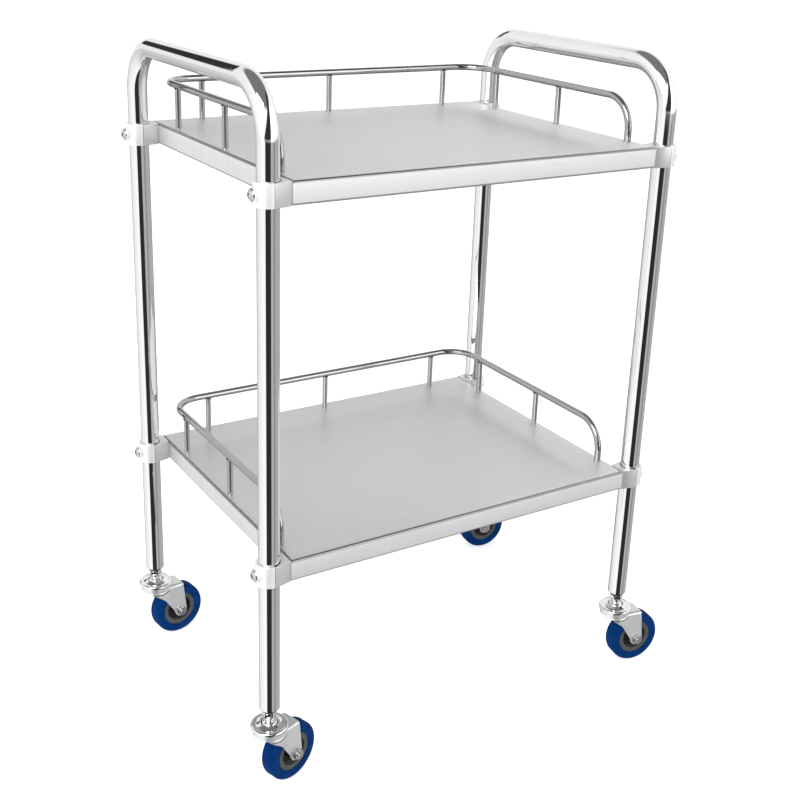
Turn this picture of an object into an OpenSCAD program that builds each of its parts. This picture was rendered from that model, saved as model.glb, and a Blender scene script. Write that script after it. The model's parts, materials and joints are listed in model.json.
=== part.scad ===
// Two-shelf instrument cart on four swivel casters.
// Two upside-down U tubes, one at each end, carry two folded sheet trays between them. Each tray is bolted
// to the four legs through split clamps and has a guard rail on three sides; the front is open.
// X runs along the cart, Y from front to back, Z up. The floor is Z = 0, and the origin is the middle of
// the cart's outline seen from above with the casters trailing to the right.

/* [Overall] */
// Distance between the leg axes along the cart
leg_span_x = 554; // [400:1:800]
// Distance between the leg axes from front to back
leg_span_y = 380; // [280:1:560]
// Height of the handle bar's axis above the floor
handle_z = 864; // [820:1:1050]
// Height of the upper deck above the floor
upper_deck_z = 764; // [620:1:790]
// Height of the lower deck above the floor
lower_deck_z = 316; // [240:1:420]

/* [Frame tube] */
// Outside diameter of the frame tube
tube_d = 25; // [19:0.5:32]
// Wall of the frame tube
tube_wall = 1.2; // [0.8:0.1:2.5]
// Bend radius of the tube's centre line at the handle
handle_bend_r = 60; // [40:1:90]
// Height of the tube's open lower end
tube_foot_z = 117; // [112:1:150]

/* [Trays] */
// Gap between a leg's surface and the side of the tray
tray_leg_gap = 10; // [6:0.5:20]
// How far the tray stands in front of and behind the leg axes
tray_overhang_y = 12; // [8:0.5:20]
// Depth of the folded edge
flange_h = 27; // [22:0.5:45]
// Thickness of the tray sheet
sheet_t = 1.5; // [1:0.1:3]
// Outside radius of the folds along the deck
fold_r = 3; // [2:0.5:6]
// Width of the inward lip at the bottom of the folded edge
lip_w = 12; // [6:0.5:16]

/* [Guard rails] */
// Diameter of the rail rod
rail_d = 9; // [6:0.5:12]
// Height of the rail's axis above the deck
rail_lift = 54; // [40:1:90]
// Distance from the tray's side edge to the rail's axis
rail_inset_side = 8.5; // [6:0.5:20]
// Distance from the tray's back edge to the rail's axis
rail_inset_back = 15; // [8:0.5:30]
// Distance from the tray's front edge to the rail's front feet
rail_setback_front = 45; // [20:1:80]
// Bend radius of the rail's centre line
rail_bend_r = 40; // [20:1:45]
// Diameter of a rail post
post_d = 7.5; // [5:0.5:8]
// Distance from the tray's back edge to the rear side posts
rear_post_setback = 72; // [66:1:100]
// Distance from the tray's back edge to the middle side posts
mid_post_setback = 215; // [150:1:230]
// Distance from the cart's middle to the outer back posts
back_post_x = 190; // [60:1:190]

/* [Clamps] */
// Wall of the clamp round the tube
clamp_wall = 4; // [3:0.5:8]
// Width of the clamp where it meets the tray
clamp_root_w = 24; // [18:1:28]
// Slit between the two halves of a clamp
clamp_slit = 0.6; // [0.4:0.1:2]
// Diameter of the clamp bolt
bolt_d = 8; // [5:1:10]
// Diameter of the clamp bolt's button head
bolt_head_d = 15; // [12:0.5:17]
// Height of the button head
bolt_head_h = 4.5; // [3:0.5:6]

/* [Casters] */
// Diameter of the wheel
wheel_d = 76; // [60:1:78]
// Width of the tyre
tyre_w = 22; // [16:1:30]
// Radius of the tyre's rounded shoulders
tyre_shoulder_r = 5; // [2:0.5:7]
// Outside diameter of the hub, where the tyre sits
hub_d = 50; // [40:1:54]
// Offset from the swivel axis to the axle
trail = 32.5; // [26:0.5:45]
// Diameter of the domed swivel cap
cap_d = 47; // [42:1:56]
// Diameter of the axle bolt
axle_d = 8; // [6:1:10]
// Diameter of the caster's stem in the swivel
stem_d = 10; // [8:1:12]
// Sheet thickness of the fork
fork_t = 2.5; // [2:0.5:4]
// Swing of the front left caster from straight right
swing_front_left = 18; // [-180:1:180]
// Swing of the front right caster
swing_front_right = -9; // [-180:1:180]
// Swing of the back left caster
swing_back_left = 8; // [-180:1:180]
// Swing of the back right caster
swing_back_right = -6; // [-180:1:180]

/* [Hidden] */

// Smoothness of round parts, and a small overshoot for clean cuts
$fn = 96;
past = 1;
// Running clearance of a pin in its bore, and the gap kept between parts that move past each other
running = 0.05;
free = 0.5;

left = -1;
right = 1;
front = -1;
back = 1;

// Tray outline and frame places. The whole cart stands left of the origin by half of what the casters
// stick out further on the right than the swivel caps do on the left.
tray_len = leg_span_x - tube_d - 2 * tray_leg_gap;
tray_dep = leg_span_y + 2 * tray_overhang_y;
middle_x = -(trail + wheel_d / 2 - cap_d / 2) / 2;
deck_inner_z = -sheet_t;
bolt_drop = flange_h / 2;

// Clamp: distance from the tube's axis to the tray's side, and to the flat boss under the bolt's head
clamp_r = tube_d / 2 + clamp_wall;
clamp_reach = tube_d / 2 + tray_leg_gap;
boss_d = bolt_head_d + 3;
boss_reach = clamp_r + 2;
washer_d = 2 * bolt_d;
washer_t = 1.6;
nut_flats = 13 / 8 * bolt_d;
nut_h = 0.8 * bolt_d;
bolt_tail = 2;
socket_flats = 0.6 * bolt_d;

// Rail path
rail_x = tray_len / 2 - rail_inset_side;
rail_y = tray_dep / 2 - rail_inset_back;
rail_front_y = -tray_dep / 2 + rail_setback_front;

// Caster levels, from the axle up. The crown clears the tyre, and the cup, ball ring, stem flange and
// cap stack on it.
wheel_r = wheel_d / 2;
axle_z = wheel_r;
crown_gap = 4;
crown_z = wheel_d + crown_gap;
crown_top = crown_z + fork_t;
cup_d = cap_d - 5;
cup_h = 5.5;
cap_z = crown_top + cup_h;
cap_bead_r = 2.8;
cap_rise = 5.5;
cap_t = 1.4;
cap_top = cap_z + cap_bead_r + cap_rise;
boss_r = cap_d * 0.215;
boss_proud = 1.7;
cap_hole_r = boss_r + free;
ball_r = 1.9;
ball_ring_r = 11.5;
ball_count = 12;
race_r = 15.5;
race_z = crown_top + 2 * ball_r + free;
race_t = 2;
collar_flats = 16;
collar_h = 6;
plug_taper_h = 5;
plug_tip_r = 9;
plug_depth = 22;
plug_slack = 0.1;
collar_top = tube_foot_z - plug_taper_h - 1;
thread_top = tube_foot_z + 16;

// Fork and axle
fork_gap = tyre_w + 2.5;
fork_w = fork_gap + 2 * fork_t;
foot_r = 9.5;
head_flats = 13;
head_h = 4.5;
axle_nut_h = 5.5;
axle_tail = 1.5;

// Hub: width over its axle boss, and the recess in each face
hub_w = tyre_w - 3;
hub_boss_w = fork_gap - 2 * free;
hub_boss_d = 18;
hub_rim_t = 6;
hub_web_w = 7;
tyre_seat_r = hub_d / 2;

function leg_x(side) = middle_x + side * leg_span_x / 2;
function leg_y(row) = row * leg_span_y / 2;

// ---- shared shapes ----

module along_x() { rotate([0, 90, 0]) children(); }
module along_y() { rotate([-90, 0, 0]) children(); }

// Hexagonal bar standing on Z = 0
module hex_bar(flats, h) { cylinder(d = flats / cos(30), h = h, $fn = 6); }

// Quarter of a bent rod: starts at the origin going up, and ends going towards +X after a turn of radius bend
module quarter_bend(bend, r) {
    translate([bend, 0, 0])
        rotate([90, 0, 0])
            rotate([0, 0, 90])
                rotate_extrude(angle = 90)
                    translate([bend, 0])
                        circle(r);
}

// ---- frame ----

// One upside-down U in the YZ plane, as a solid rod of radius r that sticks out past both feet by extra
module u_rod(r, extra) {
    leg_h = handle_z - handle_bend_r - tube_foot_z;
    bar_half = leg_span_y / 2 - handle_bend_r;
    for (row = [front, back])
        translate([0, leg_y(row), tube_foot_z - extra])
            cylinder(r = r, h = leg_h + extra);
    translate([0, -bar_half, handle_z])
        along_y()
            cylinder(r = r, h = 2 * bar_half);
    translate([0, leg_y(front), tube_foot_z + leg_h])
        rotate([0, 0, 90])
            quarter_bend(handle_bend_r, r);
    translate([0, leg_y(back), tube_foot_z + leg_h])
        rotate([0, 0, -90])
            quarter_bend(handle_bend_r, r);
}

// Hole for the clamp bolt right through a leg, on every clamp level
module leg_bolt_holes() {
    for (row = [front, back])
        for (deck = [upper_deck_z, lower_deck_z])
            translate([-tube_d, leg_y(row), deck - bolt_drop])
                along_x()
                    cylinder(d = bolt_d + 2 * plug_slack, h = 2 * tube_d);
}

module frame_tube(side) {
    color("gainsboro")
        translate([leg_x(side), 0, 0])
            difference() {
                u_rod(tube_d / 2, 0);
                u_rod(tube_d / 2 - tube_wall, past);
                leg_bolt_holes();
            }
}

// ---- trays ----

// Cross-section of a folded sheet: a rectangle under the X axis with its two top corners rounded
module folded_section(w, h, r) {
    translate([-w / 2, -h])
        square([w, h - r]);
    translate([-w / 2 + r, -h])
        square([w - 2 * r, h]);
    for (s = [-1, 1])
        translate([s * (w / 2 - r), -r])
            circle(r);
}

// Block whose four top edges are rounded, with mitred corners, as a folded pan has
module folded_block(len, dep, h, r) {
    intersection() {
        rotate([90, 0, 0])
            translate([0, 0, -dep / 2])
                linear_extrude(dep)
                    folded_section(len, h, r);
        rotate([90, 0, 90])
            translate([0, 0, -len / 2])
                linear_extrude(len)
                    folded_section(dep, h, r);
    }
}

// Places its child at each rail post's foot, in the tray's own frame
module at_posts() {
    for (side = [left, right])
        for (setback = [rear_post_setback, mid_post_setback])
            translate([side * rail_x, tray_dep / 2 - setback, 0])
                children();
    for (x = [-back_post_x, 0, back_post_x])
        translate([x, rail_y, 0])
            children();
}

// Places its child at each of the rail's two front feet
module at_rail_feet() {
    for (side = [left, right])
        translate([side * rail_x, rail_front_y, 0])
            children();
}

module tray(deck_z) {
    inner_len = tray_len - 2 * sheet_t;
    inner_dep = tray_dep - 2 * sheet_t;
    color("lightgray")
        translate([middle_x, 0, deck_z])
            difference() {
                folded_block(tray_len, tray_dep, flange_h, fold_r);
                translate([0, 0, deck_inner_z])
                    folded_block(inner_len, inner_dep, flange_h - 2 * sheet_t, fold_r - sheet_t);
                translate([-tray_len / 2 + lip_w, -tray_dep / 2 + lip_w, -flange_h - past])
                    cube([tray_len - 2 * lip_w, tray_dep - 2 * lip_w, flange_h - sheet_t]);
                for (row = [front, back])
                    translate([-tray_len / 2 - past, leg_y(row), -bolt_drop])
                        along_x()
                            cylinder(d = bolt_d + 2 * plug_slack, h = tray_len + 2 * past);
                translate([0, 0, -2 * sheet_t])
                    at_posts()
                        cylinder(d = post_d, h = 3 * sheet_t);
                translate([0, 0, -2 * sheet_t])
                    at_rail_feet()
                        cylinder(d = rail_d, h = 3 * sheet_t);
            }
}

// ---- guard rails ----

// Half of the rail, on the right: foot, upward bend, side run, corner bend and half of the back run
module half_rail() {
    r = rail_d / 2;
    side_start = rail_front_y + rail_bend_r;
    side_end = rail_y - rail_bend_r;
    translate([rail_x, rail_front_y, -sheet_t])
        cylinder(r = r, h = rail_lift - rail_bend_r + sheet_t);
    translate([rail_x, rail_front_y, rail_lift - rail_bend_r])
        rotate([0, 0, 90])
            quarter_bend(rail_bend_r, r);
    translate([rail_x, side_start, rail_lift])
        along_y()
            cylinder(r = r, h = side_end - side_start);
    translate([rail_x - rail_bend_r, side_end, rail_lift])
        rotate_extrude(angle = 90)
            translate([rail_bend_r, 0])
                circle(r);
    translate([0, rail_y, rail_lift])
        along_x()
            cylinder(r = r, h = rail_x - rail_bend_r);
}

module guard_rail(deck_z) {
    color("silver")
        translate([middle_x, 0, deck_z]) {
            half_rail();
            mirror([1, 0, 0])
                half_rail();
        }
}

// Posts pass through the deck and end in a saddle under the rail
module rail_posts(deck_z) {
    color("silver")
        translate([middle_x, 0, deck_z])
            difference() {
                translate([0, 0, -sheet_t])
                    at_posts()
                        cylinder(d = post_d, h = rail_lift + sheet_t);
                for (side = [left, right])
                    translate([side * rail_x, -tray_dep / 2, rail_lift])
                        along_y()
                            cylinder(d = rail_d, h = tray_dep);
                translate([-tray_len / 2, rail_y, rail_lift])
                    along_x()
                        cylinder(d = rail_d, h = tray_len);
            }
}

// ---- clamps ----

// Clamp outline seen from above, for a leg at the origin and a tray towards +X: a ring round the leg
// whose sides run on, tangent to it, to the tray's side
module clamp_outline() {
    corner = [clamp_reach, clamp_root_w / 2];
    tangent = atan2(corner.y, corner.x) + acos(clamp_r / norm(corner));
    touch = clamp_r * [cos(tangent), sin(tangent)];
    circle(clamp_r);
    polygon([touch, corner, [corner.x, -corner.y], [touch.x, -touch.y]]);
}

// Both clamp halves before they are slit, with the tube's bore and the bolt's hole
module clamp_block() {
    difference() {
        union() {
            translate([0, 0, -flange_h])
                linear_extrude(flange_h)
                    clamp_outline();
            translate([-boss_reach, 0, -bolt_drop])
                along_x()
                    cylinder(d = boss_d, h = boss_reach);
        }
        translate([0, 0, -flange_h - past])
            cylinder(d = tube_d + 2 * plug_slack, h = flange_h + 2 * past);
        translate([-boss_reach - past, 0, -bolt_drop])
            along_x()
                cylinder(d = bolt_d + 2 * plug_slack, h = boss_reach + clamp_reach + 2 * past);
    }
}

// Everything on one side of the slit: out = -1 keeps the cap's side, 1 the saddle's
module clamp_side(out) {
    reach = boss_reach + clamp_reach;
    translate([out * (reach + clamp_slit / 2), 0, -bolt_drop])
        cube([2 * reach, 4 * clamp_r, 2 * flange_h], center = true);
}

// Puts a clamp drawn for a left leg where it belongs
module at_clamp(side, row, deck_z) {
    translate([leg_x(side), leg_y(row), deck_z])
        rotate([0, 0, side == left ? 0 : 180])
            children();
}

module clamp_cap(side, row, deck_z) {
    color("whitesmoke")
        at_clamp(side, row, deck_z)
            intersection() {
                clamp_block();
                clamp_side(-1);
            }
}

module clamp_saddle(side, row, deck_z) {
    color("lightgray")
        at_clamp(side, row, deck_z)
            intersection() {
                clamp_block();
                clamp_side(1);
            }
}

// Places its child on the bolt's axis at every clamp, X pointing from the leg to the tray
module at_bolts() {
    for (deck = [upper_deck_z, lower_deck_z])
        for (side = [left, right])
            for (row = [front, back])
                at_clamp(side, row, deck - bolt_drop)
                    children();
}

// Rounded head with a hexagon socket, and a shank through clamp, tube and tray
module clamp_bolt() {
    inner_face = clamp_reach + sheet_t;
    shank = inner_face + washer_t + nut_h + bolt_tail;
    dome_r = (pow(bolt_head_d / 2, 2) + pow(bolt_head_h, 2)) / (2 * bolt_head_h);
    difference() {
        intersection() {
            translate([-boss_reach - bolt_head_h, 0, 0])
                along_x()
                    cylinder(d = bolt_head_d, h = bolt_head_h);
            translate([-boss_reach - bolt_head_h + dome_r, 0, 0])
                sphere(dome_r);
        }
        translate([-boss_reach - bolt_head_h - past, 0, 0])
            along_x()
                hex_bar(socket_flats, bolt_head_h * 0.6 + past);
    }
    translate([-boss_reach - past / 2, 0, 0])
        along_x()
            cylinder(d = bolt_d, h = boss_reach + shank + past / 2);
}

module clamp_bolts() {
    color("silver")
        at_bolts()
            clamp_bolt();
}

module clamp_washers() {
    color("silver")
        at_bolts()
            translate([clamp_reach + sheet_t, 0, 0])
                along_x()
                    difference() {
                        cylinder(d = washer_d, h = washer_t);
                        translate([0, 0, -past])
                            cylinder(d = bolt_d + 2 * plug_slack, h = washer_t + 2 * past);
                    }
}

module clamp_nuts() {
    color("silver")
        at_bolts()
            translate([clamp_reach + sheet_t + washer_t, 0, 0])
                along_x()
                    difference() {
                        hex_bar(nut_flats, nut_h);
                        translate([0, 0, -past])
                            cylinder(d = bolt_d, h = nut_h + 2 * past);
                    }
}

// ---- casters ----

// Moves its child from under the origin to one leg
module at_leg(side, row) { translate([leg_x(side), leg_y(row), 0]) children(); }

// The same, and turns it with the caster, X pointing the way the wheel trails
module at_caster(side, row, swing) {
    at_leg(side, row)
        rotate([0, 0, swing])
            children();
}

// Tapered plastic plug that closes the tube's foot and grips the stem's thread
module tube_end_plugs() {
    color("black")
        for (side = [left, right])
            for (row = [front, back])
                at_leg(side, row)
                    difference() {
                        union() {
                            translate([0, 0, tube_foot_z - plug_taper_h])
                                cylinder(r1 = plug_tip_r, r2 = tube_d / 2, h = plug_taper_h);
                            translate([0, 0, tube_foot_z - past])
                                cylinder(r = tube_d / 2 - tube_wall - plug_slack, h = plug_depth);
                        }
                        translate([0, 0, tube_foot_z - plug_taper_h - past])
                            cylinder(d = stem_d, h = plug_depth + plug_taper_h + past);
                    }
}

// Stem: riveted head under the crown, pivot, race flange over the balls, domed boss, hexagon collar and
// the thread that goes up into the plug
module stem(side, row) {
    head_r = stem_d * 0.8;
    head_z = crown_z - free - 2;
    boss_z = race_z + race_t;
    boss_h = cap_top + boss_proud - boss_z;
    color("gainsboro")
        at_leg(side, row) {
            translate([0, 0, head_z])
                cylinder(r = head_r, h = 2);
            translate([0, 0, head_z + past])
                cylinder(d = stem_d, h = thread_top - head_z - past);
            translate([0, 0, race_z])
                cylinder(r = race_r, h = race_t);
            translate([0, 0, boss_z - past / 2])
                intersection() {
                    cylinder(r = boss_r, h = boss_h + past / 2);
                    translate([0, 0, boss_h + past / 2 - boss_r * 1.15])
                        sphere(boss_r * 1.15);
                }
            translate([0, 0, boss_z])
                cylinder(d = stem_d + 2, h = collar_top - boss_z - past);
            translate([0, 0, collar_top - collar_h])
                hex_bar(collar_flats, collar_h);
        }
}

// Half cross-section of the domed cap: rounded bead at the rim, sloping web, and a short lip at the hole
module cap_section() {
    bead_x = cap_d / 2 - cap_bead_r;
    translate([bead_x, cap_z + cap_bead_r])
        circle(cap_bead_r, $fn = 48);
    polygon([
        [bead_x, cap_z + 2 * cap_bead_r - 0.4],
        [cap_hole_r + 3, cap_top],
        [cap_hole_r, cap_top],
        [cap_hole_r, cap_top - 2 * cap_t],
        [cap_hole_r + cap_t, cap_top - 2 * cap_t],
        [cap_hole_r + 3, cap_top - cap_t],
        [bead_x, cap_z + 2 * cap_bead_r - 0.4 - cap_t - 0.6]
    ]);
}

module swivel_cap(side, row, swing) {
    color("gainsboro")
        at_caster(side, row, swing)
            rotate_extrude()
                cap_section();
}

// Bearing balls between the crown and the stem's flange
module ball_ring(side, row, swing) {
    color("silver")
        at_caster(side, row, swing)
            for (i = [0 : ball_count - 1])
                rotate([0, 0, i * 360 / ball_count])
                    translate([ball_ring_r, 0, crown_top + ball_r])
                        sphere(ball_r, $fn = 32);
}

// Side view of a fork cheek: a leaning rear edge, a round foot at the axle, and a front edge that sweeps
// up and forward to the crown
module cheek_outline() {
    rise = crown_z - axle_z;
    difference() {
        union() {
            translate([trail, axle_z])
                circle(foot_r);
            polygon([
                [trail + foot_r, axle_z],
                [trail + foot_r - 5, crown_top],
                [-foot_r * 1.4, crown_top],
                [-foot_r * 1.4, crown_z - 3],
                [-foot_r * 0.4, crown_z - 0.2 * rise],
                [trail - foot_r * 2.2, axle_z + 0.38 * rise],
                [trail - foot_r, axle_z]
            ]);
        }
        translate([trail, axle_z])
            circle(d = axle_d + 2 * running);
    }
}

// Crown plate with a cup for the bearing, and two cheeks folded down beside the wheel
module fork(side, row, swing) {
    color("lightgray")
        at_caster(side, row, swing)
            difference() {
                union() {
                    translate([0, 0, crown_z])
                        cylinder(d = cup_d, h = fork_t + cup_h);
                    translate([0, -fork_w / 2, crown_z])
                        cube([trail + foot_r - 5, fork_w, fork_t]);
                    for (s = [-1, 1])
                        translate([0, s * (fork_gap + fork_t) / 2 + fork_t / 2, 0])
                            rotate([90, 0, 0])
                                linear_extrude(fork_t)
                                    cheek_outline();
                }
                translate([0, 0, crown_top])
                    cylinder(d = cup_d - 2 * fork_t, h = cup_h + past);
                translate([0, 0, crown_z - past])
                    cylinder(d = stem_d + 2 * running, h = fork_t + 2 * past);
            }
}

// Solid of revolution on the wheel's axle, drawn as radius against the distance along the axle
module on_axle(side, row, swing) {
    at_caster(side, row, swing)
        translate([trail, 0, axle_z])
            rotate([90, 0, 0])
                rotate_extrude()
                    children();
}

// Half section of the tyre: a flat tread between rounded shoulders, which shrink on a thin tyre
module tyre(side, row, swing) {
    r = min(tyre_shoulder_r, (wheel_r - tyre_seat_r) / 2);
    w = tyre_w / 2;
    color("royalblue")
        on_axle(side, row, swing) {
            translate([tyre_seat_r, -w])
                square([wheel_r - r - tyre_seat_r, 2 * w]);
            translate([tyre_seat_r, -w + r])
                square([wheel_r - tyre_seat_r, 2 * (w - r)]);
            for (s = [-1, 1])
                translate([wheel_r - r, s * (w - r)])
                    circle(r, $fn = 48);
        }
}

// Half section of the hub: rim under the tyre, thin web, and a long boss on the axle
module hub(side, row, swing) {
    bore_r = axle_d / 2 + running;
    color("dimgray")
        on_axle(side, row, swing) {
            translate([tyre_seat_r - hub_rim_t, -hub_w / 2])
                square([hub_rim_t, hub_w]);
            translate([bore_r, -hub_web_w / 2])
                square([tyre_seat_r - bore_r - hub_rim_t / 2, hub_web_w]);
            translate([bore_r, -hub_boss_w / 2])
                square([hub_boss_d / 2 - bore_r, hub_boss_w]);
        }
}

// Axle bolt: hexagon head outside the rear cheek, shank through both cheeks and the hub
module axle_bolt(side, row, swing) {
    tail = axle_nut_h + axle_tail;
    color("silver")
        at_caster(side, row, swing)
            translate([trail, fork_w / 2, axle_z])
                along_y() {
                    hex_bar(head_flats, head_h);
                    translate([0, 0, -fork_w - tail])
                        cylinder(d = axle_d, h = fork_w + tail + past);
                }
}

module axle_nut(side, row, swing) {
    color("silver")
        at_caster(side, row, swing)
            translate([trail, -fork_w / 2 - axle_nut_h, axle_z])
                along_y()
                    difference() {
                        hex_bar(head_flats, axle_nut_h);
                        translate([0, 0, -past])
                            cylinder(d = axle_d, h = axle_nut_h + 2 * past);
                    }
}

frame_tube(left);  // left_frame_tube
frame_tube(right);  // right_frame_tube
tray(upper_deck_z);  // upper_tray
tray(lower_deck_z);  // lower_tray
guard_rail(upper_deck_z);  // upper_guard_rail
guard_rail(lower_deck_z);  // lower_guard_rail
rail_posts(upper_deck_z);  // upper_rail_posts
rail_posts(lower_deck_z);  // lower_rail_posts
clamp_cap(left, front, upper_deck_z);  // upper_front_left_clamp_cap
clamp_cap(right, front, upper_deck_z);  // upper_front_right_clamp_cap
clamp_cap(left, back, upper_deck_z);  // upper_back_left_clamp_cap
clamp_cap(right, back, upper_deck_z);  // upper_back_right_clamp_cap
clamp_cap(left, front, lower_deck_z);  // lower_front_left_clamp_cap
clamp_cap(right, front, lower_deck_z);  // lower_front_right_clamp_cap
clamp_cap(left, back, lower_deck_z);  // lower_back_left_clamp_cap
clamp_cap(right, back, lower_deck_z);  // lower_back_right_clamp_cap
clamp_saddle(left, front, upper_deck_z);  // upper_front_left_clamp_saddle
clamp_saddle(right, front, upper_deck_z);  // upper_front_right_clamp_saddle
clamp_saddle(left, back, upper_deck_z);  // upper_back_left_clamp_saddle
clamp_saddle(right, back, upper_deck_z);  // upper_back_right_clamp_saddle
clamp_saddle(left, front, lower_deck_z);  // lower_front_left_clamp_saddle
clamp_saddle(right, front, lower_deck_z);  // lower_front_right_clamp_saddle
clamp_saddle(left, back, lower_deck_z);  // lower_back_left_clamp_saddle
clamp_saddle(right, back, lower_deck_z);  // lower_back_right_clamp_saddle
clamp_bolts();
clamp_washers();
clamp_nuts();
tube_end_plugs();
stem(left, front);  // front_left_stem
stem(right, front);  // front_right_stem
stem(left, back);  // back_left_stem
stem(right, back);  // back_right_stem
swivel_cap(left, front, swing_front_left);  // front_left_swivel_cap
swivel_cap(right, front, swing_front_right);  // front_right_swivel_cap
swivel_cap(left, back, swing_back_left);  // back_left_swivel_cap
swivel_cap(right, back, swing_back_right);  // back_right_swivel_cap
ball_ring(left, front, swing_front_left);  // front_left_ball_ring
ball_ring(right, front, swing_front_right);  // front_right_ball_ring
ball_ring(left, back, swing_back_left);  // back_left_ball_ring
ball_ring(right, back, swing_back_right);  // back_right_ball_ring
fork(left, front, swing_front_left);  // front_left_fork
fork(right, front, swing_front_right);  // front_right_fork
fork(left, back, swing_back_left);  // back_left_fork
fork(right, back, swing_back_right);  // back_right_fork
tyre(left, front, swing_front_left);  // front_left_tyre
tyre(right, front, swing_front_right);  // front_right_tyre
tyre(left, back, swing_back_left);  // back_left_tyre
tyre(right, back, swing_back_right);  // back_right_tyre
hub(left, front, swing_front_left);  // front_left_hub
hub(right, front, swing_front_right);  // front_right_hub
hub(left, back, swing_back_left);  // back_left_hub
hub(right, back, swing_back_right);  // back_right_hub
axle_bolt(left, front, swing_front_left);  // front_left_axle_bolt
axle_bolt(right, front, swing_front_right);  // front_right_axle_bolt
axle_bolt(left, back, swing_back_left);  // back_left_axle_bolt
axle_bolt(right, back, swing_back_right);  // back_right_axle_bolt
axle_nut(left, front, swing_front_left);  // front_left_axle_nut
axle_nut(right, front, swing_front_right);  // front_right_axle_nut
axle_nut(left, back, swing_back_left);  // back_left_axle_nut
axle_nut(right, back, swing_back_right);  // back_right_axle_nut
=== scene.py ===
# %% [markdown]
# # A two-shelf instrument cart
#
# The cart is a packed set of exact solids: two looped end frames of polished tube, two folded trays, guard
# rails, clamps, and four swivel casters. This script loads those solids as a fixed frame and builds the
# surfaces that the eye sees around them. Each new surface is worked out with numpy from sizes that the
# frame gives and typical sizes of such parts, rides on the body it belongs to, and stands for its solid.

# %% Load the cart
import json
import math

import bmesh
import bpy
import mathutils
import numpy as np
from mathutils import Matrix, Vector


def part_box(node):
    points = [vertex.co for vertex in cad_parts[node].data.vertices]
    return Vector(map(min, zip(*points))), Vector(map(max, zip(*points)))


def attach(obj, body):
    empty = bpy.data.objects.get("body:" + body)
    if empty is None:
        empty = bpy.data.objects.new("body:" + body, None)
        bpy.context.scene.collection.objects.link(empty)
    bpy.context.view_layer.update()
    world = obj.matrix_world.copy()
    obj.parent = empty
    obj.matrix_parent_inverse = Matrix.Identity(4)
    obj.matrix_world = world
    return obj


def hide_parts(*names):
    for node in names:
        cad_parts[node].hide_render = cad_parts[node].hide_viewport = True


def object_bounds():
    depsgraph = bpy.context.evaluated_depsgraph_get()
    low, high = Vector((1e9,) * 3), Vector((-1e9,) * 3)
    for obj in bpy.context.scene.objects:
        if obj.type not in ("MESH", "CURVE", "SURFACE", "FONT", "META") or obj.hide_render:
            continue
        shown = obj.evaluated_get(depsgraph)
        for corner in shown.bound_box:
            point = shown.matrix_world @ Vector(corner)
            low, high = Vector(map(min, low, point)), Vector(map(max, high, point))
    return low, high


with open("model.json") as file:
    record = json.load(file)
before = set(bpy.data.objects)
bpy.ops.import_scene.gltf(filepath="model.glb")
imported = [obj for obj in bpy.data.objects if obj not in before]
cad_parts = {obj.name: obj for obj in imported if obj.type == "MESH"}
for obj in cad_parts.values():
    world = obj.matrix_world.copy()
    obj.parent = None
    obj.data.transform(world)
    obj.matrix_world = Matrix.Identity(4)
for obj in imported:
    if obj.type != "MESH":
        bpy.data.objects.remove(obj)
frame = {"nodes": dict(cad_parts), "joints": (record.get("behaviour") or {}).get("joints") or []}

MM = 0.001
CAD_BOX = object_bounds()
JOINTS = {joint["name"]: joint for joint in frame["joints"]}

# %% [markdown]
# ## Faces over a grid of points
#
# Almost every part of this cart is a swept or a turned shape, so almost every surface can be a grid of
# points: one direction runs along the part and the other goes round it. The same few lines then give the
# faces, whatever the shape is. Modelling by hand with loops and extrudes would give the same faces, but a
# formula keeps the part tied to the sizes of the solids.

# %% Grid faces and joined meshes
def grid_faces(rows, columns, close_rows=False, close_columns=False):
    """Quads over rows x columns points, numbered row by row. Each goes from a point to the one in the next
    row, across to the next column, and back."""
    i, j = np.meshgrid(
        np.arange(rows if close_rows else rows - 1),
        np.arange(columns if close_columns else columns - 1),
        indexing="ij",
    )
    a = i * columns + j
    b = (i + 1) % rows * columns + j
    c = (i + 1) % rows * columns + (j + 1) % columns
    d = i * columns + (j + 1) % columns
    return np.stack([a, b, c, d], axis=-1).reshape(-1, 4).tolist()


def joined(*parts):
    """One (points, faces) pair from several, each part's face numbers moved up by the points before it."""
    starts = np.cumsum([0] + [len(points) for points, _ in parts[:-1]])
    faces = [[k + int(s) for k in face] for (_, part), s in zip(parts, starts) for face in part]
    return np.concatenate([points for points, _ in parts]), faces


def placed(part, origin, x=(1, 0, 0), y=(0, 1, 0), z=(0, 0, 1)):
    """A part moved to a place: each point is origin + px * x + py * y + pz * z."""
    points, faces = part
    return points @ np.array([x, y, z], dtype=float) + np.array(origin, dtype=float), faces


def piece(name, part, material, body, nodes=(), sharp=35, sheet_uv=None):
    """A mesh object from a (points, faces) pair, with doubles merged, faces outward and creases over
    `sharp` degrees kept. It rides on a body, and stands for the named nodes of the frame."""
    points, faces = part
    mesh = bpy.data.meshes.new(name)
    mesh.from_pydata(points.tolist(), [], faces)
    if sheet_uv is not None:
        corner = np.empty(len(mesh.loops), dtype=np.int32)
        mesh.loops.foreach_get("vertex_index", corner)
        mesh.uv_layers.new(name="sheet").uv.foreach_set("vector", sheet_uv[corner].ravel())
    bm = bmesh.new()
    bm.from_mesh(mesh)
    bmesh.ops.remove_doubles(bm, verts=bm.verts, dist=1e-6)
    bmesh.ops.recalc_face_normals(bm, faces=bm.faces)
    bm.to_mesh(mesh)
    bm.free()
    mesh.shade_smooth()
    mesh.set_sharp_from_angle(angle=math.radians(sharp))
    mesh.materials.append(material)
    thing = bpy.data.objects.new(name, mesh)
    bpy.context.scene.collection.objects.link(thing)
    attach(thing, body)
    if nodes:
        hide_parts(*nodes)
    return thing


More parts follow.
